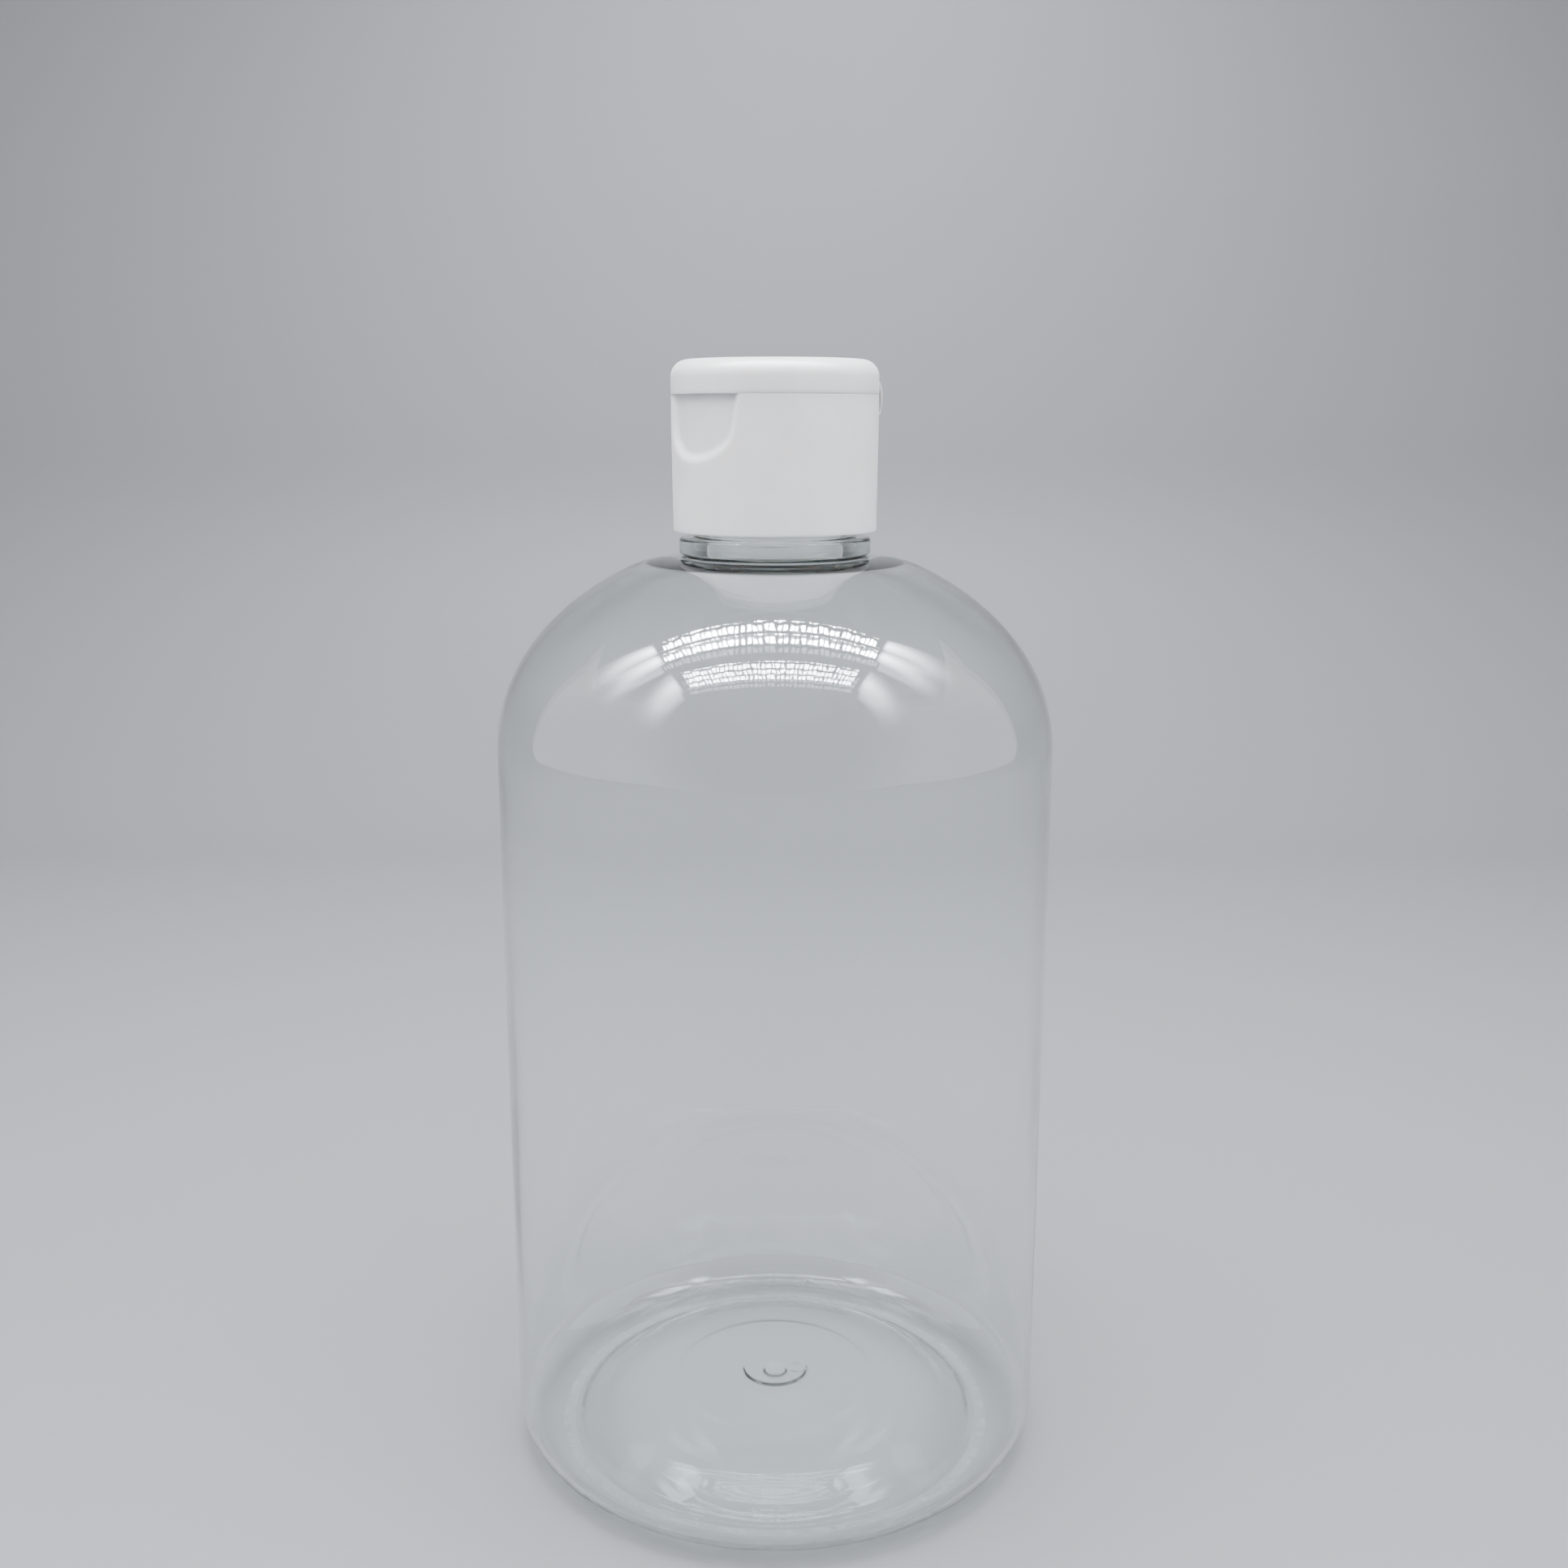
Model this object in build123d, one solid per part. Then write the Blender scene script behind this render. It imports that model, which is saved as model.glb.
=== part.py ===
from build123d import *
import os
from math import atan2, cos, degrees, radians, sin, sqrt

# A clear blow-moulded bottle with a 24 mm screw neck and a white flip-top dispensing cap.
# Frame: +Z up, origin on the bottle's axis at the plane it stands on. The cap's thumb recess
# faces -Y and its living hinge is at +Y. All lengths are millimetres.

# ---- driving dimensions: bottle ----
BODY_RADIUS = 38.0          # outside of the straight wall
WALL = 0.7                  # straight wall thickness
SHOULDER_START = 102.0      # height where the straight wall ends
SHOULDER_RISE = 28.5        # semi-axis of the elliptical shoulder along Z
SHOULDER_END_RADIUS = 20.0  # inside this radius the shoulder flattens towards the neck
INNER_RISE = 27.2           # the inner wall's semi-axis: the shell thickens up the shoulder
FLARE_RADIUS = 22.0         # where the inner wall starts to turn up into the neck
HEEL_RADIUS = 6.2           # rounding between the wall and the standing ring
RING_INNER = 30.0           # inner edge of the flat standing ring
PUSH_UP = 5.12              # height of the underside near the middle of the base
BASE_FLOOR = 1.03           # base thickness near the middle
STEP_RADIUS = 14.5          # shallow circular step in the push-up
STEP_DROP = 0.12            # how far the underside drops there
GATE_RADIUS = 1.5           # moulding gate under the middle
GATE_DROP = 0.3
DISC_RADIUS = 4.5           # thick disc above the gate, inside the bottle
DISC_RISE = 0.25
# the steep flank of the push-up as (radius, height): the underside, then the inner surface
FLANK_UNDER = [(20.37, 4.46), (22.5, 4.0), (24.32, 3.12), (25.74, 2.14)]
FLANK_INSIDE = [(30.9, 0.7), (29.2, 1.05), (26.2, 2.8), (24.8, 3.82), (22.8, 4.85), (20.5, 5.4)]

# ---- driving dimensions: 24-410 neck finish ----
NECK_TOP = 147.0
NECK_RADIUS = 10.75         # E dimension / 2
BORE_RADIUS = 9.2
THREAD_RADIUS = 11.9        # T dimension / 2
PITCH = 3.175               # 8 threads per inch, one start
NECK_TURNS = 1.5
NECK_THREAD_START = 140.4   # middle of the ridge at its lower end
RIDGE_ROOT_HALF = 1.0
RIDGE_CREST_HALF = 0.45
BEAD_RADIUS = 12.9
BEAD_LOW = 128.1
BEAD_HIGH = 130.4
ROOT_RADIUS = 12.4          # shallow groove under the bead
ROOT_LEVEL = 127.75

# ---- driving dimensions: cap ----
CAP_LOW = 131.2             # lower edge of the skirt
PARTING = 149.0             # plane where the lid meets the cap base
CAP_TOP = 153.8
CAP_RADIUS = 13.8           # at the parting plane
SKIRT_LOW_RADIUS = 13.65    # the skirt has a little moulding draft
SKIRT_BORE = 12.1
DECK_UNDER = 148.0
DECK_TOP = 149.3
RIM_OUTER = 12.3            # raised rim that the lid closes over
RIM_INNER = 11.2
RIM_TOP = 150.4
SPOUT_RADIUS = 4.2
SPOUT_TOP = 151.2
ORIFICE_RADIUS = 2.8
CAP_RIDGE_CREST = 11.05     # inner radius of the cap's own ridge
CAP_TURNS = 1.5
THREAD_PLAY = 0.08          # gap left on the loaded flank

# ---- driving dimensions: lid ----
LID_WALL = 1.15
LID_ROOF = 1.3
LID_EDGE_ROUND = 2.2
LID_CROWN = 0.3             # rise of the domed top
PIN_RADIUS = 2.6            # hollow plug that closes the orifice
PIN_TIP_RADIUS = 2.3
PIN_TAPER = 1.7
PIN_BORE = 1.6
PIN_LOW = 148.6

# ---- driving dimensions: thumb recess, living hinge, washer ----
RECESS_LOW = 140.7          # bottom of the U on the skirt's surface
RECESS_DEPTH = 0.85
RECESS_TOP_HALF = 9.3       # half width of the cutter, level with the lid, in front of the skirt
RECESS_CORNER_HALF = 7.85   # half width of the cutter where its sides meet the curved foot
RECESS_CORNER_RISE = 1.3    # how far those corners stand above the lowest point of the foot
RECESS_TAPER = 45
HINGE_MID = 148.5
HINGE_HALF_HEIGHT = 2.2
HINGE_BULGE = 0.45
HINGE_GAP = 0.02            # film and wings stand this far off the moulded walls
FILM_HALF_ANGLE = 13.0
FILM_THICKNESS = 0.3
WING_FROM_ANGLE = 17.0
WING_TO_ANGLE = 43.0
WASHER_OUTER = 10.6
WASHER_INNER = 7.6


def turned(outline):
    """A solid of revolution about Z from a closed outline drawn with x as radius and y as height."""
    return revolve(Plane.XZ * make_face(outline), Axis.Z)


def path(points):
    """A run of straight lines through the points."""
    return Polyline(*points)


def ellipse_height(radius, semi_radius, semi_height):
    """Height over the shoulder's start of an ellipse centred on the axis."""
    return semi_height * sqrt(1 - (radius / semi_radius) ** 2)


def ellipse_angle(radius, semi_radius):
    """Parameter angle of an ellipse point, in degrees."""
    return degrees(atan2(sqrt(1 - (radius / semi_radius) ** 2), radius / semi_radius))


def shoulder_arc(semi_radius, semi_height, end_radius):
    """Quarter-ellipse arc of the shoulder, from the straight wall up to end_radius."""
    return EllipticalCenterArc(
        (0, SHOULDER_START),
        semi_radius,
        semi_height,
        arc_size=ellipse_angle(end_radius, semi_radius),
    )


def bottle_outside():
    """Outer outline of the bottle, from the middle of the underside to the lip."""
    heel_in = BODY_RADIUS - HEEL_RADIUS
    ring_round = 2.0
    ring_end = (RING_INNER - ring_round * sin(radians(45)), ring_round * (1 - cos(radians(45))))
    step_in = (STEP_RADIUS - 0.5, PUSH_UP - 0.14)
    step_out = (STEP_RADIUS + 0.7, step_in[1] - STEP_DROP)
    gate_low = PUSH_UP - GATE_DROP
    gate_foot = (GATE_RADIUS + 0.3, PUSH_UP)
    shoulder_end = (
        SHOULDER_END_RADIUS,
        SHOULDER_START + ellipse_height(SHOULDER_END_RADIUS, BODY_RADIUS, SHOULDER_RISE),
    )
    groove = BEAD_LOW - ROOT_LEVEL
    lip = 0.35
    return [
        Line((0, gate_low), (GATE_RADIUS, gate_low)),
        Line((GATE_RADIUS, gate_low), gate_foot),
        Spline([gate_foot, step_in], tangents=[(1, 0), (1, -0.03)]),
        Line(step_in, step_out),
        Spline([step_out, *FLANK_UNDER, ring_end], tangents=[(1, -0.05), (1, -1)]),
        CenterArc((RING_INNER, ring_round), ring_round, 225, 45),
        Line((RING_INNER, 0), (heel_in, 0)),
        CenterArc((heel_in, HEEL_RADIUS), HEEL_RADIUS, -90, 90),
        Line((BODY_RADIUS, HEEL_RADIUS), (BODY_RADIUS, SHOULDER_START)),
        shoulder_arc(BODY_RADIUS, SHOULDER_RISE, SHOULDER_END_RADIUS),
        Spline([shoulder_end, (ROOT_RADIUS + groove, ROOT_LEVEL)], tangents=[(-1, 0.464), (-1, 0)]),
        CenterArc((ROOT_RADIUS + groove, BEAD_LOW), groove, 270, -90),
        path(
            [
                (ROOT_RADIUS, BEAD_LOW),
                (BEAD_RADIUS - 0.3, BEAD_LOW),
                (BEAD_RADIUS, BEAD_LOW + 0.35),
                (BEAD_RADIUS, BEAD_HIGH - 0.5),
                (BEAD_RADIUS - 0.5, BEAD_HIGH),
                (NECK_RADIUS, BEAD_HIGH),
                (NECK_RADIUS, NECK_TOP - lip),
                (NECK_RADIUS - lip, NECK_TOP),
                (BORE_RADIUS + lip, NECK_TOP),
                (BORE_RADIUS, NECK_TOP - lip),
            ]
        ),
    ]


def bottle_inside():
    """Inner outline of the bottle, from the lip down to the middle of the floor."""
    lip = 0.35
    inner_radius = BODY_RADIUS - WALL
    flare_end = (
        FLARE_RADIUS,
        SHOULDER_START + ellipse_height(FLARE_RADIUS, inner_radius, INNER_RISE),
    )
    neck_foot = (17.5, ROOT_LEVEL - 1.75)
    throat = (12.6, ROOT_LEVEL - 1.45)
    bore_end = (BORE_RADIUS, ROOT_LEVEL + 0.85)
    heel_in = BODY_RADIUS - HEEL_RADIUS
    floor_mid = (DISC_RADIUS, PUSH_UP + BASE_FLOOR)
    disc_high = floor_mid[1] + DISC_RISE
    return [
        Line((BORE_RADIUS, NECK_TOP - lip), bore_end),
        Spline([bore_end, throat, neck_foot, flare_end], tangents=[(0, -1), (1, -0.533)]),
        shoulder_arc(inner_radius, INNER_RISE, FLARE_RADIUS),
        Line((inner_radius, SHOULDER_START), (inner_radius, HEEL_RADIUS)),
        CenterArc((heel_in, HEEL_RADIUS), HEEL_RADIUS - WALL, -90, 90),
        Line((heel_in, WALL), FLANK_INSIDE[0]),
        Spline([*FLANK_INSIDE, floor_mid], tangents=[(-1, 0), (-1, 0.02)]),
        path(
            [
                floor_mid,
                (DISC_RADIUS - 0.4, disc_high),
                (0, disc_high),
                (0, PUSH_UP - GATE_DROP),
            ]
        ),
    ]


def helical_ridge(root_radius, crest_radius, root_half, crest_half, start_level, turns):
    """A trapezoidal ridge wound right-handed round Z. It is rooted 0.3 mm inside its wall."""
    outward = 1 if crest_radius > root_radius else -1
    rooted = root_radius - outward * 0.3
    helix = Helix(PITCH, PITCH * turns, root_radius, center=(0, 0, start_level))
    slope = (root_half - crest_half) / abs(crest_radius - root_radius)
    rooted_half = root_half + slope * 0.3
    start = Plane(origin=helix @ 0, x_dir=(1, 0, 0), z_dir=helix % 0)
    section = make_face(
        Polyline(
            (rooted - root_radius, -rooted_half),
            (crest_radius - root_radius, -crest_half),
            (crest_radius - root_radius, crest_half),
            (rooted - root_radius, rooted_half),
            close=True,
        )
    )
    return sweep(start * section, path=helix, is_frenet=True)


def make_bottle():
    """The blow-moulded bottle: shell, push-up base, bead and threaded neck in one piece."""
    shell = turned(Curve() + bottle_outside() + bottle_inside())
    ridge = helical_ridge(
        NECK_RADIUS, THREAD_RADIUS, RIDGE_ROOT_HALF, RIDGE_CREST_HALF, NECK_THREAD_START, NECK_TURNS
    )
    return shell + ridge


def thumb_recess():
    """Cutter for the thumb recess: a wide U-shaped dish in the front of the skirt, under the lid."""
    reach = CAP_RADIUS + 0.4
    low = RECESS_LOW - 0.4
    top = PARTING + 2.0
    corner = low + RECESS_CORNER_RISE
    mouth = make_face(
        Curve()
        + [
            Line((-RECESS_TOP_HALF, top), (-RECESS_CORNER_HALF, corner)),
            ThreePointArc((-RECESS_CORNER_HALF, corner), (0, low), (RECESS_CORNER_HALF, corner)),
            Line((RECESS_CORNER_HALF, corner), (RECESS_TOP_HALF, top)),
            Line((RECESS_TOP_HALF, top), (-RECESS_TOP_HALF, top)),
        ]
    )
    front = Plane(origin=(0, -reach, 0), x_dir=(-1, 0, 0), z_dir=(0, 1, 0))
    dish = extrude(front * mouth, amount=4.0, taper=RECESS_TAPER)
    core = Pos(0, 0, RECESS_LOW) * Cylinder(CAP_RADIUS - RECESS_DEPTH, 60)
    return dish - core


def make_cap_base():
    """Skirt, deck, lid rim and spout of the cap, with the thread inside and the thumb recess cut."""
    outline = path(
        [
            (SKIRT_BORE + 0.4, CAP_LOW),
            (SKIRT_LOW_RADIUS - 0.15, CAP_LOW),
            (SKIRT_LOW_RADIUS, CAP_LOW + 0.15),
            (CAP_RADIUS, HINGE_MID - HINGE_HALF_HEIGHT - 0.6),
            (CAP_RADIUS, PARTING),
            (RIM_OUTER, PARTING),
            (RIM_OUTER, RIM_TOP - 0.25),
            (RIM_OUTER - 0.25, RIM_TOP),
            (RIM_INNER + 0.15, RIM_TOP),
            (RIM_INNER, RIM_TOP - 0.15),
            (RIM_INNER, DECK_TOP),
            (SPOUT_RADIUS, DECK_TOP),
            (SPOUT_RADIUS - 0.25, SPOUT_TOP - 0.2),
            (SPOUT_RADIUS - 0.45, SPOUT_TOP),
            (ORIFICE_RADIUS + 0.3, SPOUT_TOP),
            (ORIFICE_RADIUS, SPOUT_TOP - 0.3),
            (ORIFICE_RADIUS, DECK_UNDER + 0.4),
            (ORIFICE_RADIUS + 0.7, DECK_UNDER),
            (SKIRT_BORE, DECK_UNDER),
            (SKIRT_BORE, CAP_LOW + 1.0),
            (SKIRT_BORE + 0.4, CAP_LOW),
        ]
    )
    base = turned(outline)
    neck_slope = (RIDGE_ROOT_HALF - RIDGE_CREST_HALF) / (THREAD_RADIUS - NECK_RADIUS)
    neck_half_there = RIDGE_ROOT_HALF - neck_slope * (CAP_RIDGE_CREST - NECK_RADIUS)
    drop = neck_half_there + RIDGE_CREST_HALF + THREAD_PLAY
    ridge = helical_ridge(
        SKIRT_BORE, CAP_RIDGE_CREST, 0.95, RIDGE_CREST_HALF, NECK_THREAD_START - drop, CAP_TURNS
    )
    return base + ridge - thumb_recess()


def make_lid():
    """The flip lid: a shallow domed cup with the hollow plug that closes the orifice."""
    roof_under = CAP_TOP - LID_CROWN - LID_ROOF
    edge_start = CAP_TOP - LID_CROWN - LID_EDGE_ROUND
    edge_in = CAP_RADIUS - LID_EDGE_ROUND
    inner = CAP_RADIUS - LID_WALL
    shell = turned(
        Curve()
        + [
            path(
                [
                    (PIN_BORE, PIN_LOW),
                    (PIN_TIP_RADIUS, PIN_LOW),
                    (PIN_RADIUS, PIN_LOW + PIN_TAPER),
                    (PIN_RADIUS, roof_under),
                    (inner - 0.8, roof_under),
                    (inner, roof_under - 0.8),
                    (inner, PARTING),
                    (CAP_RADIUS, PARTING),
                    (CAP_RADIUS, edge_start),
                ]
            ),
            CenterArc((edge_in, edge_start), LID_EDGE_ROUND, 0, 90),
            Spline(
                [(edge_in, edge_start + LID_EDGE_ROUND), (0, CAP_TOP)], tangents=[(-1, 0.0), (-1, 0)]
            ),
            path([(0, CAP_TOP), (0, roof_under), (PIN_BORE, roof_under), (PIN_BORE, PIN_LOW)]),
        ]
    )
    return shell


def hinge_section(bulge):
    """Lens-shaped section of the living hinge, standing on the cap's outer wall."""
    wall = CAP_RADIUS + HINGE_GAP
    low = HINGE_MID - HINGE_HALF_HEIGHT
    high = HINGE_MID + HINGE_HALF_HEIGHT
    return make_face(
        Curve()
        + [
            Line((wall, high), (wall, low)),
            ThreePointArc((wall, low), (wall + bulge, HINGE_MID), (wall, high)),
        ]
    )


def hinge_sector(bulge, from_angle, to_angle):
    """A stretch of hinge band; angles are measured from +Y, anticlockwise seen from above."""
    band = revolve(Plane.XZ * hinge_section(bulge), Axis.Z, revolution_arc=to_angle - from_angle)
    return Rot(0, 0, 90 + from_angle) * band


def make_washer():
    """Soft sealing ring between the bottle's lip and the cap's deck."""
    ring = Cylinder(WASHER_OUTER, DECK_UNDER - NECK_TOP) - Cylinder(WASHER_INNER, 10)
    return Pos(0, 0, (DECK_UNDER + NECK_TOP) / 2) * ring


parts = {
    "bottle": make_bottle(),
    "sealing_washer": make_washer(),
    "cap_base": make_cap_base(),
    "flip_lid": make_lid(),
    "hinge_film": hinge_sector(FILM_THICKNESS, -FILM_HALF_ANGLE, FILM_HALF_ANGLE),
    "hinge_wing_left": hinge_sector(HINGE_BULGE, WING_FROM_ANGLE, WING_TO_ANGLE),
    "hinge_wing_right": hinge_sector(HINGE_BULGE, -WING_TO_ANGLE, -WING_FROM_ANGLE),
}

os.makedirs("parts", exist_ok=True)
for name, solid in parts.items():
    export_step(solid, f"parts/{name}.step")
    print(name, round(solid.volume, 1), "mm3")
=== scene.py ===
import bpy
from math import atan2, cos, exp, hypot, pi, radians, sin, sqrt
from mathutils import Matrix, Vector, noise


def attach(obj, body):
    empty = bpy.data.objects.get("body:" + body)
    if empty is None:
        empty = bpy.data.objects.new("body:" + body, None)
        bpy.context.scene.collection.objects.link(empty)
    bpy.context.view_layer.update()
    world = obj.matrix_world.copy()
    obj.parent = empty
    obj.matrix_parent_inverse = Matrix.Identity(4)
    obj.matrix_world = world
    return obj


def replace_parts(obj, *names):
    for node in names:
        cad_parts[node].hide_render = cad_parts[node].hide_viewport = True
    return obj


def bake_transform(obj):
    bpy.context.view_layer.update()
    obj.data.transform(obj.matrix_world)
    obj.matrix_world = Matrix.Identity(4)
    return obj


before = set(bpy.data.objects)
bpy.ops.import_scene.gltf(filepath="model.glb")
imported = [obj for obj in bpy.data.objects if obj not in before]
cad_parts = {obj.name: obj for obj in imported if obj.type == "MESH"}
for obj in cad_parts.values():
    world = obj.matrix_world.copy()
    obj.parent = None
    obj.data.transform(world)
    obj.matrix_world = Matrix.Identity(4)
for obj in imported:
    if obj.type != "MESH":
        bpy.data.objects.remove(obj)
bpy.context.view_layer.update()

# ---------------------------------------------------------------------------
# The bottle. One blow-moulded shell of clear PET: a straight round wall under
# a domed shoulder, a pushed-up base with the gate at its middle, a collar
# bead, and a neck whose screw thread was moulded before the body was blown.
# ---------------------------------------------------------------------------
MM = 0.001
TURN_STEPS = 192

body_r = 38.0
wall = 0.7
heel_r = 6.2
shoulder_z = 102.0
shoulder_rise = 28.5
inner_rise = 27.2
neck_top = 147.0
neck_r = 10.75
bore_r = 9.2
bead_low = 128.1
bead_high = 130.4
pitch = 3.175
thread_start = 140.4
thread_turns = 1.5
thread_height = 1.15


def arc(centre_r, centre_z, radius, start, end, steps, squash=1.0):
    """Points of an arc in the half plane of (radius, height); angles in degrees from outwards."""
    points = []
    for i in range(steps + 1):
        a = radians(start + (end - start) * i / steps)
        points.append((centre_r + radius * cos(a), centre_z + radius * squash * sin(a)))
    return points


def bend(a, b, leave, arrive, steps):
    """A smooth run from a to b, without a, that leaves and arrives in the given directions."""
    d = hypot(b[0] - a[0], b[1] - a[1])
    m0 = Vector(leave).normalized() * d
    m1 = Vector(arrive).normalized() * d
    points = []
    for i in range(1, steps + 1):
        t = i / steps
        p = (2 * t**3 - 3 * t**2 + 1) * Vector(a) + (t**3 - 2 * t**2 + t) * m0
        p += (3 * t**2 - 2 * t**3) * Vector(b) + (t**3 - t**2) * m1
        points.append((p.x, p.y))
    return points


def straight(a, b, steps):
    """Evenly spaced points from a to b, without a."""
    return [
        (a[0] + (b[0] - a[0]) * i / steps, a[1] + (b[1] - a[1]) * i / steps)
        for i in range(1, steps + 1)
    ]


def nothing_selected():
    """Operators act on all that is selected, so each piece starts with a clean selection."""
    if bpy.context.object and bpy.context.object.mode != "OBJECT":
        bpy.ops.object.mode_set(mode="OBJECT")
    bpy.ops.object.select_all(action="DESELECT")


def turned(name, outline, steps=TURN_STEPS, first=0.0, sweep=360.0):
    """Draws an outline of (radius, height) points point by point and spins it about the axis."""
    nothing_selected()
    bpy.ops.mesh.primitive_plane_add(size=MM)
    piece = bpy.context.object
    piece.name = name
    piece.data.name = name
    bpy.ops.object.mode_set(mode="EDIT")
    bpy.ops.mesh.merge(type="CENTER")
    a = radians(first)
    points = [Vector((r * cos(a), r * sin(a), z)) * MM for r, z in outline]
    bpy.ops.transform.translate(value=points[0])
    for here, there in zip(points, points[1:]):
        bpy.ops.mesh.extrude_region_move(TRANSFORM_OT_translate={"value": there - here})
    bpy.ops.mesh.select_all(action="SELECT")
    if outline[0][0] > 0:
        bpy.ops.mesh.edge_face_add()
        bpy.ops.mesh.delete(type="ONLY_FACE")
        bpy.ops.mesh.select_all(action="SELECT")
    bpy.ops.mesh.spin(steps=steps, angle=-radians(sweep), center=(0, 0, 0), axis=(0, 0, 1))
    bpy.ops.mesh.select_all(action="SELECT")
    bpy.ops.mesh.remove_doubles(threshold=0.000005)
    bpy.ops.mesh.normals_make_consistent(inside=False)
    bpy.ops.object.mode_set(mode="OBJECT")
    return piece


def smooth(piece, angle):
    """Smooth shading, with creases kept where faces meet at more than the angle in degrees."""
    nothing_selected()
    piece.select_set(True)
    bpy.context.view_layer.objects.active = piece
    bpy.ops.object.shade_smooth_by_angle(angle=radians(angle))


def ease(t):
    """0 below 0, 1 above 1, and a smooth step between."""
    t = max(0.0, min(1.0, t))
    return t * t * (3 - 2 * t)


def thread_lift(angle, z, start, turns, root_half, crest_half):
    """Share of its full height that a screw ridge has at a place; its ends fade out over 30 degrees."""
    best = 0.0
    for lap in range(int(turns) + 2):
        turned_by = angle + 2 * pi * lap
        if 0 <= turned_by <= 2 * pi * turns:
            off = abs(z - (start + pitch * turned_by / (2 * pi)))
            side = ease((root_half - off) / (root_half - crest_half))
            ends = ease(turned_by / radians(30)) * ease((2 * pi * turns - turned_by) / radians(30))
            best = max(best, side * ends)
    return best


# The push-up under the base, outside and inside, as (radius, height) places on its outline.
gate_edge = (1.3, 4.82)
gate_brim = (1.9, 5.12)
step_brim = (14.0, 4.98)
step_foot = (15.2, 4.86)
flank = [(20.37, 4.46), (22.5, 4.0), (24.32, 3.12), (25.74, 2.14)]
flank_inside = [(26.2, 2.8), (24.8, 3.82), (22.8, 4.85), (20.5, 5.4)]
ring_inside = (29.2, 1.05)
disc_foot = (4.9, 6.15)
disc_brim = (4.4, 6.4)
disc_middle = (0, 6.42)

# The shoulder runs into the neck along these places.
root = (12.75, 127.75)
bore_end = (bore_r, 128.6)
throat = (12.6, 126.3)
neck_foot = (17.5, 126.0)

inner_r = body_r - wall
heel_in = body_r - heel_r
ring_end = (30 - 2 * sin(radians(45)), 2 - 2 * cos(radians(45)))
throat_foot = (22.0, shoulder_z + inner_rise * sqrt(1 - (22.0 / inner_r) ** 2))
shoulder_end = (20.0, shoulder_z + shoulder_rise * sqrt(1 - (20.0 / body_r) ** 2))

outside = [(0, gate_edge[1]), gate_edge] + bend(gate_edge, gate_brim, (1, 0), (1, 0), 5)
outside += bend(gate_brim, step_brim, (1, 0), (1, -0.03), 14)
outside += bend(step_brim, step_foot, (1, -0.03), (1, -0.05), 6)
outside += bend(step_foot, flank[0], (1, -0.05), (1, -0.14), 8)
outside += bend(flank[0], flank[1], (1, -0.14), (1, -0.36), 6)
outside += bend(flank[1], flank[2], (1, -0.36), (1, -0.68), 6)
outside += bend(flank[2], flank[3], (1, -0.68), (1, -0.68), 5)
outside += bend(flank[3], ring_end, (1, -0.68), (1, -0.7), 8)
outside += arc(30, 2, 2, 225, 270, 5)[1:] + straight((30, 0), (heel_in, 0), 2)
outside += arc(heel_in, heel_r, heel_r, -90, 0, 14)[1:]
outside += straight((body_r, heel_r), (body_r, shoulder_z), 36)
outside += arc(0, shoulder_z, body_r, 0, 58.24, 36, shoulder_rise / body_r)[1:-1] + [shoulder_end]
outside += bend(shoulder_end, root, (-1, 0.464), (-1, 0), 12)
outside += arc(root[0], bead_low, 0.35, 270, 180, 4)[1:]
outside += arc(12.5, bead_low + 0.4, 0.4, 270, 360, 4)
outside += arc(12.4, bead_high - 0.5, 0.5, 0, 90, 5)
outside += straight((12.4, bead_high), (11.15, bead_high), 3)
outside += arc(neck_r + 0.4, bead_high + 0.4, 0.4, 270, 180, 4)[1:]
outside += straight((neck_r, bead_high + 0.4), (neck_r, 138.8), 8)
outside += straight((neck_r, 138.8), (neck_r, neck_top - 0.4), 38)
outside += arc(neck_r - 0.4, neck_top - 0.4, 0.4, 0, 90, 4)[1:]

inside = arc(bore_r + 0.4, neck_top - 0.4, 0.4, 90, 180, 4)
inside += straight((bore_r, neck_top - 0.4), bore_end, 12)
inside += bend(bore_end, throat, (0, -1), (1, -0.2), 14)
inside += bend(throat, neck_foot, (1, -0.12), (1, -0.32), 9)
inside += bend(neck_foot, throat_foot, (1, -0.32), (1, -0.533), 9)
inside += arc(0, shoulder_z, inner_r, 53.86, 0, 34, inner_rise / inner_r)[1:]
inside += straight((inner_r, shoulder_z), (inner_r, heel_r), 36)
inside += arc(heel_in, heel_r, heel_r - wall, 0, -90, 12)[1:]
inside += straight((heel_in, wall), (30.9, wall), 2)
inside += bend((30.9, wall), ring_inside, (-1, 0), (-1, 0.45), 6)
inside += bend(ring_inside, flank_inside[0], (-1, 0.45), (-1, 0.70), 12)
inside += bend(flank_inside[0], flank_inside[1], (-1, 0.70), (-1, 0.70), 8)
inside += bend(flank_inside[1], flank_inside[2], (-1, 0.70), (-1, 0.36), 8)
inside += bend(flank_inside[2], flank_inside[3], (-1, 0.36), (-1, 0.14), 8)
inside += bend(flank_inside[3], disc_foot, (-1, 0.10), (-1, 0.02), 26)
inside += bend(disc_foot, disc_brim, (-1, 0), (-1, 0), 6)
inside += straight(disc_brim, disc_middle, 12)

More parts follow.
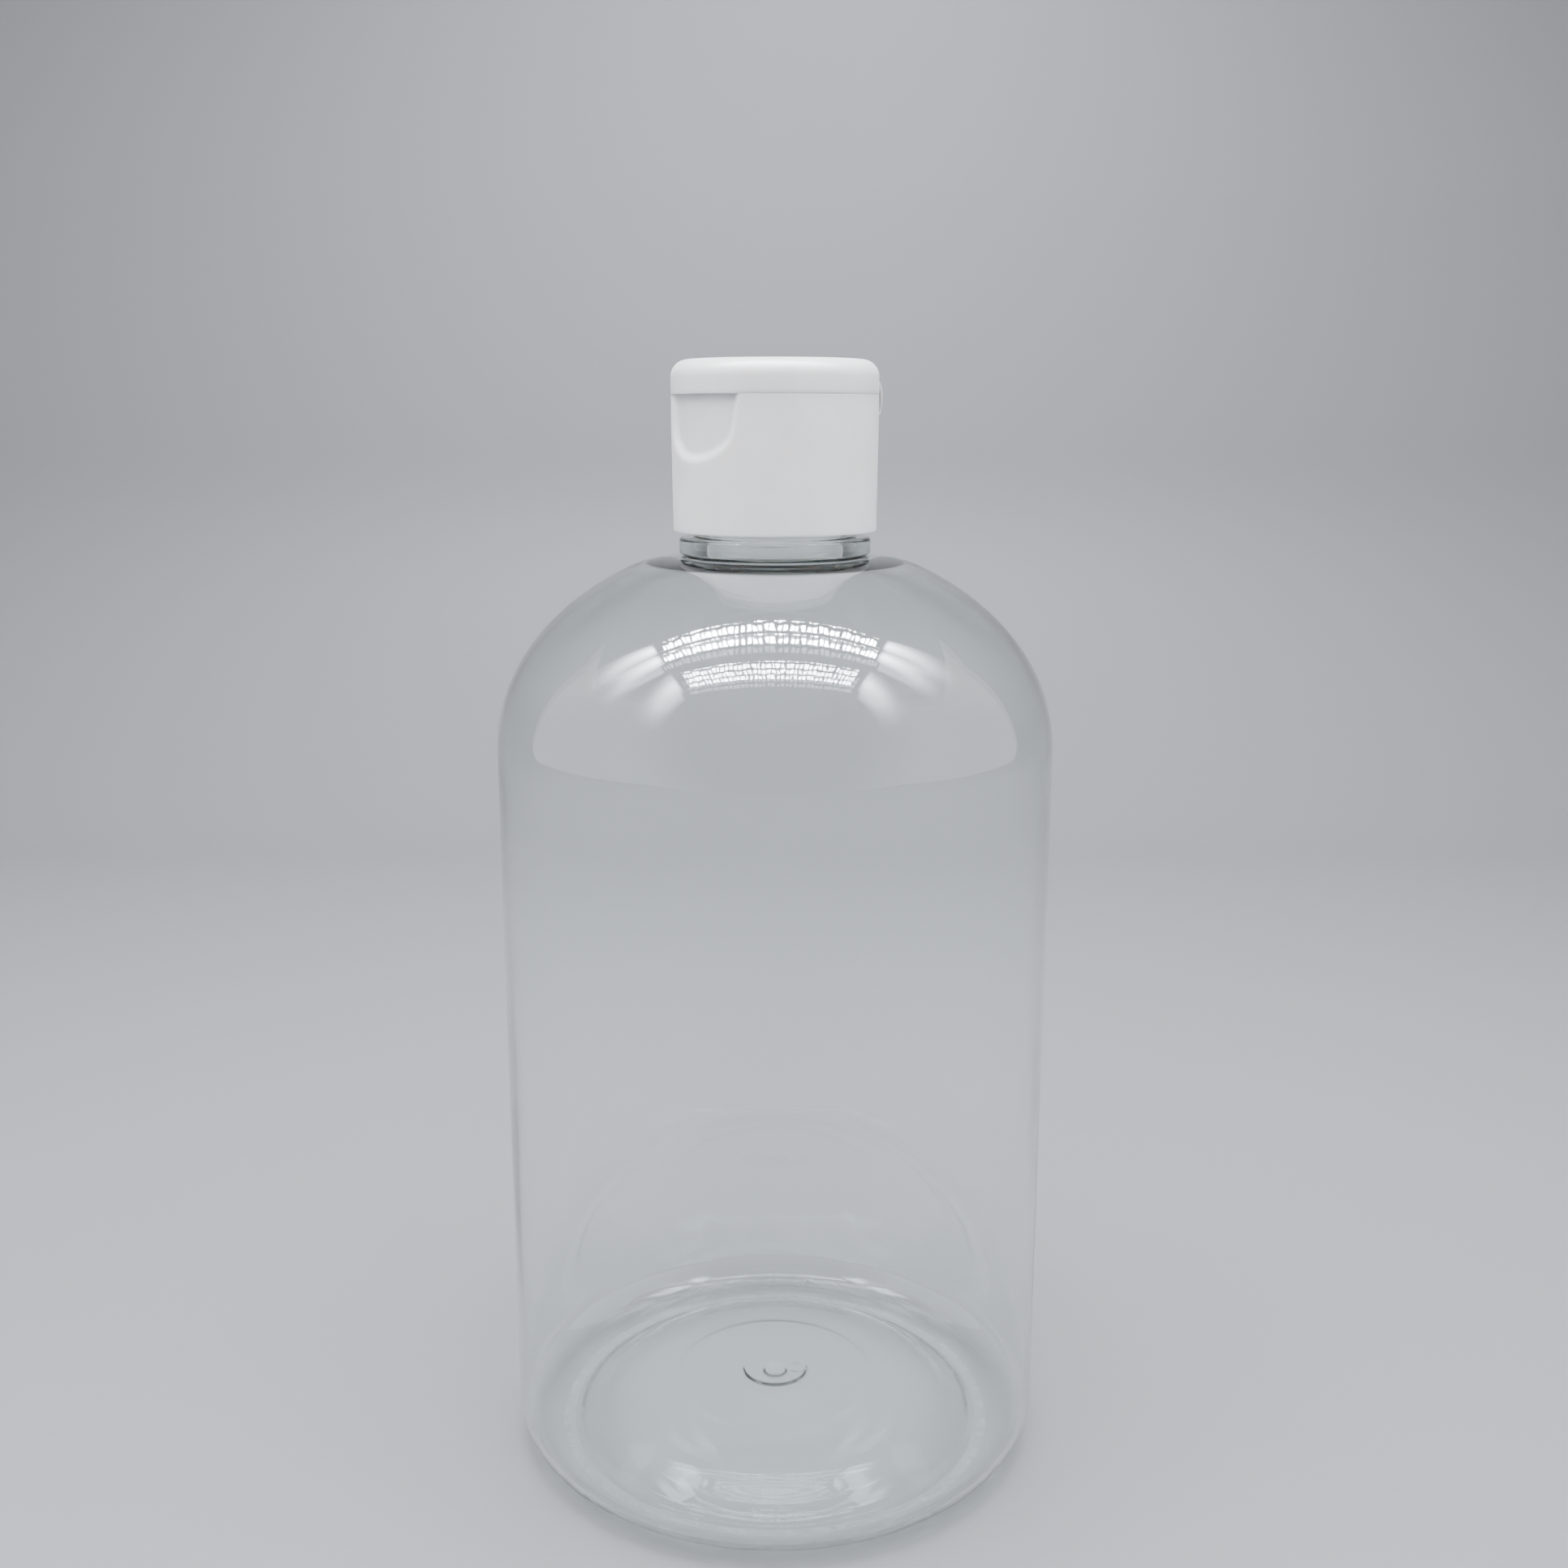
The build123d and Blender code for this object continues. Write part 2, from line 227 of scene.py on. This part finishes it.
bottle = turned("bottle_shell", outside + inside)
disc_side = radians(50)
mark_out = 3.2
mark_r = 1.2
mark_line = 0.35
mark_height = 0.09
for v in bottle.data.vertices:
    x, y, z = v.co / MM
    r = hypot(x, y)
    a = atan2(y, x)
    if 138.5 < z < neck_top - 0.3 and r > neck_r - 0.05:
        r += thread_height * thread_lift(a % (2 * pi), z, thread_start, thread_turns, 1.0, 0.45)
    on_inner_wall = r < inner_r + 0.01 and heel_r < z < shoulder_z + 0.01
    if on_inner_wall:
        r += 0.05 * noise.noise(Vector((3 * cos(a), 3 * sin(a), z / 30)))
    if 5.9 < z < 7.0 and r < 8.0:
        near = hypot(x - mark_out * cos(disc_side), y - mark_out * sin(disc_side))
        z += mark_height * exp(-(((near - mark_r) / mark_line) ** 2))
    v.co = Vector((r * cos(a), r * sin(a), z)) * MM
smooth(bottle, 50)


def finish_group(name, outputs):
    """An empty shader node group with a scale input and the named float outputs."""
    group = bpy.data.node_groups.new(name, "ShaderNodeTree")
    group.interface.new_socket("Scale", in_out="INPUT", socket_type="NodeSocketFloat")
    for out in outputs:
        group.interface.new_socket(out, in_out="OUTPUT", socket_type="NodeSocketFloat")
    return group, group.nodes.new("NodeGroupInput"), group.nodes.new("NodeGroupOutput")


handling, given, gives = finish_group("handling_marks", ["Haze", "Wave"])
place = handling.nodes.new("ShaderNodeTexCoord")
smudge = handling.nodes.new("ShaderNodeTexNoise")
smudge.inputs["Detail"].default_value = 4
smudge.inputs["Roughness"].default_value = 0.6
ripple = handling.nodes.new("ShaderNodeTexNoise")
ripple.inputs["Detail"].default_value = 1
slow = handling.nodes.new("ShaderNodeMath")
slow.operation = "MULTIPLY"
slow.inputs[1].default_value = 0.35
handling.links.new(place.outputs["Object"], smudge.inputs["Vector"])
handling.links.new(place.outputs["Object"], ripple.inputs["Vector"])
handling.links.new(given.outputs["Scale"], smudge.inputs["Scale"])
handling.links.new(given.outputs["Scale"], slow.inputs[0])
handling.links.new(slow.outputs["Value"], ripple.inputs["Scale"])
handling.links.new(smudge.outputs["Fac"], gives.inputs["Haze"])
handling.links.new(ripple.outputs["Fac"], gives.inputs["Wave"])


def ranged(tree, source, low, high, from_low=0.3, from_high=0.7):
    """Maps a 0-1 pattern to a range of values."""
    node = tree.nodes.new("ShaderNodeMapRange")
    node.inputs["From Min"].default_value = from_low
    node.inputs["From Max"].default_value = from_high
    node.inputs["To Min"].default_value = low
    node.inputs["To Max"].default_value = high
    tree.links.new(source, node.inputs["Value"])
    return node.outputs["Result"]


def bumped(tree, source, strength, distance):
    """A bump of the given depth in metres."""
    node = tree.nodes.new("ShaderNodeBump")
    node.inputs["Strength"].default_value = strength
    node.inputs["Distance"].default_value = distance
    tree.links.new(source, node.inputs["Height"])
    return node.outputs["Normal"]


clear_pet = bpy.data.materials.new("clear_pet")
clear_pet.use_nodes = True
tree = clear_pet.node_tree
shader = tree.nodes["Principled BSDF"]
shader.inputs["Base Color"].default_value = (0.985, 0.995, 0.992, 1)
shader.inputs["Transmission Weight"].default_value = 1.0
shader.inputs["IOR"].default_value = 1.57
marks = tree.nodes.new("ShaderNodeGroup")
marks.node_tree = handling
marks.inputs["Scale"].default_value = 60
tree.links.new(ranged(tree, marks.outputs["Haze"], 0.008, 0.04), shader.inputs["Roughness"])
tree.links.new(bumped(tree, marks.outputs["Wave"], 0.25, 0.0003), shader.inputs["Normal"])
tint = tree.nodes.new("ShaderNodeVolumeAbsorption")
tint.inputs["Color"].default_value = (0.35, 0.72, 0.6, 1)
tint.inputs["Density"].default_value = 18
tree.links.new(tint.outputs["Volume"], tree.nodes["Material Output"].inputs["Volume"])
bottle.data.materials.append(clear_pet)
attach(bottle, "bottle")
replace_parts(bottle, "bottle")

# ---------------------------------------------------------------------------
# The sealing washer. A ring die-cut from white polyethylene foam, pushed up
# against the deck inside the cap, where the bottle's lip bites into it.
# ---------------------------------------------------------------------------
washer_r = (7.6, 10.6)
washer_z = (147.0, 148.0)
edge = 0.12
ring = [(washer_r[0] + edge, washer_z[0]), (washer_r[1] - edge, washer_z[0])]
ring += [(washer_r[1], washer_z[0] + edge), (washer_r[1], washer_z[1] - edge)]
ring += [(washer_r[1] - edge, washer_z[1]), (washer_r[0] + edge, washer_z[1])]
ring += [(washer_r[0], washer_z[1] - edge), (washer_r[0], washer_z[0] + edge)]
washer = turned("foam_washer", ring, steps=128)
smooth(washer, 30)

foam = bpy.data.materials.new("foam_liner")
foam.use_nodes = True
tree = foam.node_tree
shader = tree.nodes["Principled BSDF"]
shader.inputs["Roughness"].default_value = 0.8
place = tree.nodes.new("ShaderNodeTexCoord")
cells = tree.nodes.new("ShaderNodeTexVoronoi")
cells.inputs["Scale"].default_value = 4500
tree.links.new(place.outputs["Object"], cells.inputs["Vector"])
shade = tree.nodes.new("ShaderNodeMix")
shade.data_type = "RGBA"
shade.inputs["A"].default_value = (0.72, 0.72, 0.69, 1)
shade.inputs["B"].default_value = (0.84, 0.84, 0.82, 1)
tree.links.new(ranged(tree, cells.outputs["Distance"], 0, 1, 0.0, 0.6), shade.inputs["Factor"])
tree.links.new(shade.outputs["Result"], shader.inputs["Base Color"])
tree.links.new(bumped(tree, cells.outputs["Distance"], 0.5, 0.00006), shader.inputs["Normal"])
washer.data.materials.append(foam)
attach(washer, "liner")
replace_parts(washer, "sealing_washer")

# ---------------------------------------------------------------------------
# The cap base. The smooth screw skirt, deck, lid rim and spout of the closure,
# injection moulded in white polypropylene, with the thumb recess pressed into
# its front and the screw ridge on its inner wall.
# ---------------------------------------------------------------------------
cap_low = 131.2
parting = 149.0
cap_r = 13.8
skirt_bore = 12.1
deck_under = 148.0
deck_top = 149.3
lip_round = 0.09
ridge_start = 139.014
ridge_turns = 1.5
ridge_height = 1.05

skirt = [(12.5, cap_low), (13.5, cap_low)] + arc(13.5, cap_low + 0.15, 0.15, 270, 360, 3)[1:]
skirt += straight((13.65, cap_low + 0.15), (cap_r, 145.7), 58)
skirt += straight((cap_r, 145.7), (cap_r, parting - lip_round), 13)
skirt += arc(cap_r - lip_round, parting - lip_round, lip_round, 0, 90, 3)[1:]
skirt += [(12.95, parting), (12.45, parting), (12.33, parting + 0.08), (12.3, parting + 0.2)]
skirt += [(12.3, 150.15)] + arc(12.05, 150.15, 0.25, 0, 90, 3)[1:]
skirt += [(11.4, 150.4)] + arc(11.35, 150.25, 0.15, 90, 180, 2)[1:] + [(11.2, deck_top + 0.15)]
skirt += [(11.1, deck_top + 0.03), (10.95, deck_top), (4.45, deck_top), (4.25, deck_top + 0.06)]
skirt += [(4.19, deck_top + 0.2), (3.97, 150.95)] + arc(3.72, 150.95, 0.25, 0, 90, 3)[1:]
skirt += [(3.15, 151.2), (2.95, 151.12), (2.84, 150.98), (2.8, 150.8), (2.8, 148.4), (2.95, 148.15)]
skirt += [(3.5, deck_under), (11.8, deck_under), (12.02, deck_under - 0.08), (12.1, deck_under - 0.3)]
skirt += straight((12.1, deck_under - 0.3), (12.1, cap_low + 1.0), 56) + [(12.14, cap_low + 0.7)]

cap = turned("cap_base_shell", skirt, steps=320)
recess_low = 140.7
recess_deep = 0.8
corner_z = 143.4
corner_out = 6.3
foot_r = 8.6
corner_blend = 0.9
brim_out = 0.3
brim_wide = 1.15


def recess_share(out, up):
    """How deep the thumb recess is at a place on the skirt, as a share of its full depth."""
    beyond_side = abs(out) - (corner_out + 0.17 * (up - corner_z))
    beyond_foot = hypot(out, min(up - recess_low - foot_r, 0)) - foot_r
    beyond = max(beyond_side, beyond_foot)
    apart = abs(beyond_side - beyond_foot)
    if apart < corner_blend:
        beyond += (corner_blend - apart) ** 2 / (4 * corner_blend)
    return ease((brim_out - beyond) / brim_wide)


for v in cap.data.vertices:
    x, y, z = v.co / MM
    r = hypot(x, y)
    a = atan2(y, x)
    if r < skirt_bore + 0.05 and 134.0 < z < deck_under - 0.4 and r > 12.0:
        r -= ridge_height * thread_lift(a % (2 * pi), z, ridge_start, ridge_turns, 0.95, 0.45)
    if y < 0 and r > 12.9 and z > recess_low - 1:
        r -= recess_deep * recess_share(cap_r * (a + pi / 2), z) * ease((r - 12.93) / 0.05)
    v.co = Vector((r * cos(a), r * sin(a), z)) * MM
smooth(cap, 40)

white_pp = bpy.data.materials.new("white_pp")
white_pp.use_nodes = True
tree = white_pp.node_tree
shader = tree.nodes["Principled BSDF"]
shader.inputs["IOR"].default_value = 1.49
shader.inputs["Subsurface Weight"].default_value = 0.7
shader.inputs["Subsurface Radius"].default_value = (1.0, 0.9, 0.85)
shader.inputs["Subsurface Scale"].default_value = 0.002
marks = tree.nodes.new("ShaderNodeGroup")
marks.node_tree = handling
marks.inputs["Scale"].default_value = 170
shade = tree.nodes.new("ShaderNodeMix")
shade.data_type = "RGBA"
shade.inputs["A"].default_value = (0.85, 0.835, 0.835, 1)
shade.inputs["B"].default_value = (0.91, 0.895, 0.9, 1)
tree.links.new(ranged(tree, marks.outputs["Haze"], 0, 1), shade.inputs["Factor"])
tree.links.new(shade.outputs["Result"], shader.inputs["Base Color"])
tree.links.new(ranged(tree, marks.outputs["Haze"], 0.3, 0.42), shader.inputs["Roughness"])
grain = tree.nodes.new("ShaderNodeTexNoise")
grain.inputs["Scale"].default_value = 9000
place = tree.nodes.new("ShaderNodeTexCoord")
tree.links.new(place.outputs["Object"], grain.inputs["Vector"])
tree.links.new(bumped(tree, grain.outputs["Fac"], 0.25, 0.00001), shader.inputs["Normal"])
cap.data.materials.append(white_pp)
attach(cap, "cap")
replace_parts(cap, "cap_base")

# ---------------------------------------------------------------------------
# The flip lid. A shallow domed cup of the same polypropylene, with the hollow
# plug under its middle that closes the spout.
# ---------------------------------------------------------------------------
cap_top = 153.8
crown = 0.3
round_r = 2.2
roof_under = 152.2
lid_in = 12.65
edge_z = cap_top - crown - round_r

cup = [(0, roof_under), (0.8, roof_under), (1.35, roof_under - 0.07), (1.6, roof_under - 0.3)]
cup += arc(1.85, 148.85, 0.25, 180, 270, 3) + arc(2.05, 148.85, 0.25, 270, 350, 3)
cup += [(2.6, 150.3), (2.6, roof_under - 0.3), (2.7, roof_under - 0.08), (2.95, roof_under)]
cup += straight((2.95, roof_under), (11.6, roof_under), 6)
cup += arc(11.65, roof_under - 1.0, 1.0, 88, 0, 6) + [(lid_in, parting + 0.35)]
cup += arc(lid_in + lip_round, parting + 0.02 + lip_round, lip_round, 180, 270, 2)
cup += arc(cap_r - lip_round, parting + 0.02 + lip_round, lip_round, 270, 360, 3)
cup += straight((cap_r, parting + 0.16), (cap_r, edge_z), 6)
cup += arc(cap_r - round_r, edge_z, round_r, 0, 88, 14)[1:]
cup += bend((cap_r - round_r + 0.077, edge_z + round_r - 0.001), (0, cap_top), (-1, 0.03), (-1, 0), 22)
lid = turned("flip_lid_shell", cup, steps=256)
smooth(lid, 40)
lid.data.materials.append(white_pp)
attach(lid, "lid")
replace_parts(lid, "flip_lid")

# ---------------------------------------------------------------------------
# The living hinge. A thin web at the back, and a thicker bowed strap on each
# side of it, all moulded in one with the cap and the lid. They bend when the
# lid flips, and the straps snap it past the middle.
# ---------------------------------------------------------------------------
hinge_mid = 148.5
hinge_half = 2.2
rows = 26


def hinge_band(name, bulge, first, sweep):
    """A bowed band on the cap's outer wall; its angles are measured from +Y."""
    outer = []
    for i in range(rows + 1):
        t = -1 + 2 * i / rows
        outer.append((cap_r + 0.02 + bulge * (1 - t * t) ** 0.75, hinge_mid + hinge_half * t))
    inner = straight(outer[-1], outer[0], rows)[:-1]
    piece = turned(name, outer + inner, steps=max(12, int(sweep)), first=90 + first, sweep=sweep)
    nothing_selected()
    piece.select_set(True)
    bpy.context.view_layer.objects.active = piece
    bpy.ops.object.mode_set(mode="EDIT")
    bpy.ops.mesh.select_all(action="DESELECT")
    bpy.ops.mesh.select_non_manifold()
    bpy.ops.mesh.fill()
    bpy.ops.mesh.select_all(action="SELECT")
    bpy.ops.mesh.normals_make_consistent(inside=False)
    bpy.ops.object.mode_set(mode="OBJECT")
    smooth(piece, 40)
    piece.data.materials.append(white_pp)
    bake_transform(piece)
    return piece


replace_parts(hinge_band("hinge_web", 0.3, -13, 26), "hinge_film")
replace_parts(hinge_band("hinge_strap_left", 0.45, 17, 26), "hinge_wing_left")
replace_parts(hinge_band("hinge_strap_right", 0.45, -43, 26), "hinge_wing_right")

# ---------------------------------------------------------------------------
# The studio. A paper sweep rises behind the bottle. The paper under the bottle is painted
# paler, a painted pool of light standing in for light that the clear bottle keeps off it.
# A ceiling cloth gives the light and is nearly dark in mirror reflections, which show rows
# of small lamps and soft side panels instead. Only the cloth and air light paper.
# ---------------------------------------------------------------------------
look = radians(50)
across = Vector((cos(look), sin(look), 0))
away = Vector((-sin(look), cos(look), 0))
up = Vector((0, 0, 1))


def placed(x, y, z):
    """A point given in millimetres across, away from the camera and up."""
    return (across * x + away * y + up * z) * MM


nothing_selected()
bpy.ops.mesh.primitive_plane_add(size=1)
sweep_floor = bpy.context.object
sweep_floor.name = "studio_sweep"
bpy.ops.object.mode_set(mode="EDIT")
bpy.ops.mesh.merge(type="CENTER")
run = [(-900, 0), (330, 0)] + [
    (330 + 130 * sin(radians(a)), 130 - 130 * cos(radians(a))) for a in range(6, 91, 6)
]
run += [(460, 900)]
spots = [placed(-1100, y, z) for y, z in run]
bpy.ops.transform.translate(value=spots[0])
for here, there in zip(spots, spots[1:]):
    bpy.ops.mesh.extrude_region_move(TRANSFORM_OT_translate={"value": there - here})
bpy.ops.mesh.select_all(action="SELECT")
bpy.ops.mesh.extrude_region_move(TRANSFORM_OT_translate={"value": placed(2200, 0, 0)})
bpy.ops.mesh.select_all(action="SELECT")
bpy.ops.mesh.normals_make_consistent(inside=False)
bpy.ops.object.mode_set(mode="OBJECT")
smooth(sweep_floor, 40)
paper = bpy.data.materials.new("sweep_paper")
paper.use_nodes = True
tree = paper.node_tree
shader = tree.nodes["Principled BSDF"]
shader.inputs["Roughness"].default_value = 0.6
place = tree.nodes.new("ShaderNodeTexCoord")
reach = tree.nodes.new("ShaderNodeVectorMath")
reach.operation = "LENGTH"
tree.links.new(place.outputs["Object"], reach.inputs[0])
# Painted light: within about 31-37 mm of the bottle's axis the paper fades to the paler colour A, a
# painted pool of light under the bottle in place of light the glass keeps off.
shade = tree.nodes.new("ShaderNodeMix")
shade.data_type = "RGBA"
shade.inputs["A"].default_value = (0.56, 0.57, 0.58, 1)
shade.inputs["B"].default_value = (0.235, 0.238, 0.247, 1)
tree.links.new(ranged(tree, reach.outputs["Value"], 0.0, 1.0, 0.031, 0.037), shade.inputs["Factor"])
tree.links.new(shade.outputs["Result"], shader.inputs["Base Color"])
sweep_floor.data.materials.append(paper)

world = bpy.data.worlds.new("studio_air")
bpy.context.scene.world = world
world.use_nodes = True
tree = world.node_tree
air = tree.nodes["Background"]
air.inputs["Strength"].default_value = 1.15
seen = tree.nodes.new("ShaderNodeTexCoord")
frontness = tree.nodes.new("ShaderNodeVectorMath")
frontness.operation = "DOT_PRODUCT"
frontness.inputs[1].default_value = (up * 0.45 - away).normalized()
tree.links.new(seen.outputs["Generated"], frontness.inputs[0])
doorway = tree.nodes.new("ShaderNodeMapRange")
doorway.interpolation_type = "SMOOTHSTEP"
doorway.inputs["From Min"].default_value = 0.45
doorway.inputs["From Max"].default_value = 0.95
tree.links.new(frontness.outputs["Value"], doorway.inputs["Value"])
haze = tree.nodes.new("ShaderNodeMix")
haze.data_type = "RGBA"
haze.inputs["A"].default_value = (0.95, 0.97, 1.0, 1)
haze.inputs["B"].default_value = (0.12, 0.11, 0.105, 1)
tree.links.new(doorway.outputs["Result"], haze.inputs["Factor"])
tree.links.new(haze.outputs["Result"], air.inputs["Color"])


def lamp(name, x, y, z, wide, deep, watts, facing, cells=None, fade=0.0):
    """An area light seen only in reflections: cells make it a grid of small lamps, and a fade a
    panel that dims along its depth. Its long side runs across the view."""
    data = bpy.data.lights.new(name, "AREA")
    data.shape = "RECTANGLE"
    data.size = wide * MM
    data.size_y = deep * MM
    data.energy = watts
    data.color = (0.88, 0.92, 1.0)
    light = bpy.data.objects.new(name, data)
    light.visible_diffuse = False
    bpy.context.scene.collection.objects.link(light)
    side = up if abs(facing.dot(up)) < 0.5 else away
    right = side.cross(-facing).normalized()
    basis = Matrix((right, side, -facing)).transposed()
    light.matrix_world = Matrix.Translation(placed(x, y, z)) @ basis.to_4x4()
    data.use_nodes = True
    tree = data.node_tree
    spot = tree.nodes.new("ShaderNodeNewGeometry")
    count = tree.nodes.new("ShaderNodeVectorMath")
    count.operation = "MULTIPLY"
    count.inputs[1].default_value = (*cells, 0) if cells else (1, 1, 0)
    tree.links.new(spot.outputs["Parametric"], count.inputs[0])
    uneven = tree.nodes.new("ShaderNodeTexNoise")
    uneven.inputs["Scale"].default_value = 0.9
    uneven.inputs["Detail"].default_value = 0
    tree.links.new(count.outputs["Vector"], uneven.inputs["Vector"])
    jitter = tree.nodes.new("ShaderNodeVectorMath")
    jitter.operation = "MULTIPLY_ADD"
    jitter.inputs[1].default_value = (1.1, 0.5, 0) if cells else (0, 0, 0)
    tree.links.new(uneven.outputs["Color"], jitter.inputs[0])
    tree.links.new(count.outputs["Vector"], jitter.inputs[2])
    split = tree.nodes.new("ShaderNodeSeparateXYZ")
    tree.links.new(jitter.outputs["Vector"], split.inputs["Vector"])
    cell_edge = (0.15, 0.25) if cells else (0.0, 0.5)
    masks = []
    for axis in "XY":
        ramp = tree.nodes.new("ShaderNodeMath")
        ramp.operation = "PINGPONG"
        ramp.inputs[1].default_value = 0.5
        tree.links.new(split.outputs[axis], ramp.inputs[0])
        masks.append(ranged(tree, ramp.outputs["Value"], 0.0, 1.6, *cell_edge))
    if fade:
        dimming = ranged(tree, split.outputs["Y"], 0.0, 1.5, 1 - fade, 0.95)
        far_edge = ranged(tree, split.outputs["Y"], 1.0, 0.0, 0.93, 1.0)
        masks[1:] = [dimming, dimming, far_edge]
    strength = masks[0]
    for mask in masks[1:]:
        both = tree.nodes.new("ShaderNodeMath")
        both.operation = "MULTIPLY"
        tree.links.new(strength, both.inputs[0])
        tree.links.new(mask, both.inputs[1])
        strength = both.outputs["Value"]
    tree.links.new(strength, tree.nodes["Emission"].inputs["Strength"])


row_height = 400
row_watts = 5.0
row_lamps = 40
lamp_rows = ((5, 338, 30, 1), (-34, 360, 28, 1), (-133, 327, 60, 3))
for row, (y, wide, deep, lines) in enumerate(lamp_rows):
    lamp(f"lamp_row_{row}", -11, y, row_height, wide, deep, row_watts, -up, cells=(row_lamps, lines))

panel_height = 300
panel_deep = 196
panel_watts = 0.7
for x, side in ((-194, -1), (172, 1)):
    inwards = -side * across
    for row, (y, wide) in enumerate(((5, 44), (-34, 44), (-133, 90))):
        name = f"side_glow_{row}_{side}"
        lamp(name, x, y, panel_height, wide, panel_deep, panel_watts, inwards, fade=0.97)

cloth_side = 0.7
cloth_in_mirrors = 0.35
cloth_through_clear = 15.0
nothing_selected()
bpy.ops.mesh.primitive_plane_add(size=cloth_side)
ceiling = bpy.context.object
ceiling.name = "studio_ceiling"
bpy.ops.object.mode_set(mode="EDIT")
bpy.ops.mesh.select_all(action="SELECT")
bpy.ops.transform.translate(value=placed(0, -20, 425))
bpy.ops.mesh.flip_normals()
bpy.ops.object.mode_set(mode="OBJECT")
cloth = bpy.data.materials.new("ceiling_cloth")
cloth.use_nodes = True
tree = cloth.node_tree
glow = tree.nodes.new("ShaderNodeEmission")
glow.inputs["Color"].default_value = (0.94, 0.965, 1.0, 1)
# -1 in a plain reflection, 0 for direct light, 1 for light through the clear wall to the paper.
trip = tree.nodes.new("ShaderNodeLightPath")
mirrored = tree.nodes.new("ShaderNodeMath")
mirrored.operation = "MAXIMUM"
tree.links.new(trip.outputs["Is Transmission Ray"], mirrored.inputs[0])
tree.links.new(trip.outputs["Is Glossy Ray"], mirrored.inputs[1])
bounced = tree.nodes.new("ShaderNodeMath")
bounced.operation = "MULTIPLY_ADD"
bounced.inputs[1].default_value = 2.0
bounced.inputs[2].default_value = -1.0
tree.links.new(trip.outputs["Diffuse Depth"], bounced.inputs[0])
route = tree.nodes.new("ShaderNodeMath")
route.operation = "MULTIPLY"
tree.links.new(mirrored.outputs["Value"], route.inputs[0])
tree.links.new(bounced.outputs["Value"], route.inputs[1])
cloth_light = ranged(tree, route.outputs["Value"], cloth_in_mirrors, cloth_through_clear, -1.0, 1.0)
tree.links.new(cloth_light, glow.inputs["Strength"])
tree.links.new(glow.outputs["Emission"], tree.nodes["Material Output"].inputs["Surface"])
ceiling.data.materials.append(cloth)

camera_data = bpy.data.cameras.new("camera")
camera_data.sensor_width = 36
camera_data.lens = 38.546
camera_data.shift_x = 0.0058
camera_data.clip_start = 0.01
camera = bpy.data.objects.new("camera", camera_data)
bpy.context.scene.collection.objects.link(camera)
camera.location = placed(0, -228.6, 146.0)
dip = radians(12.3)
facing = away * cos(dip) - up * sin(dip)
camera.rotation_euler = facing.to_track_quat("-Z", "Y").to_euler()
bpy.context.scene.camera = camera
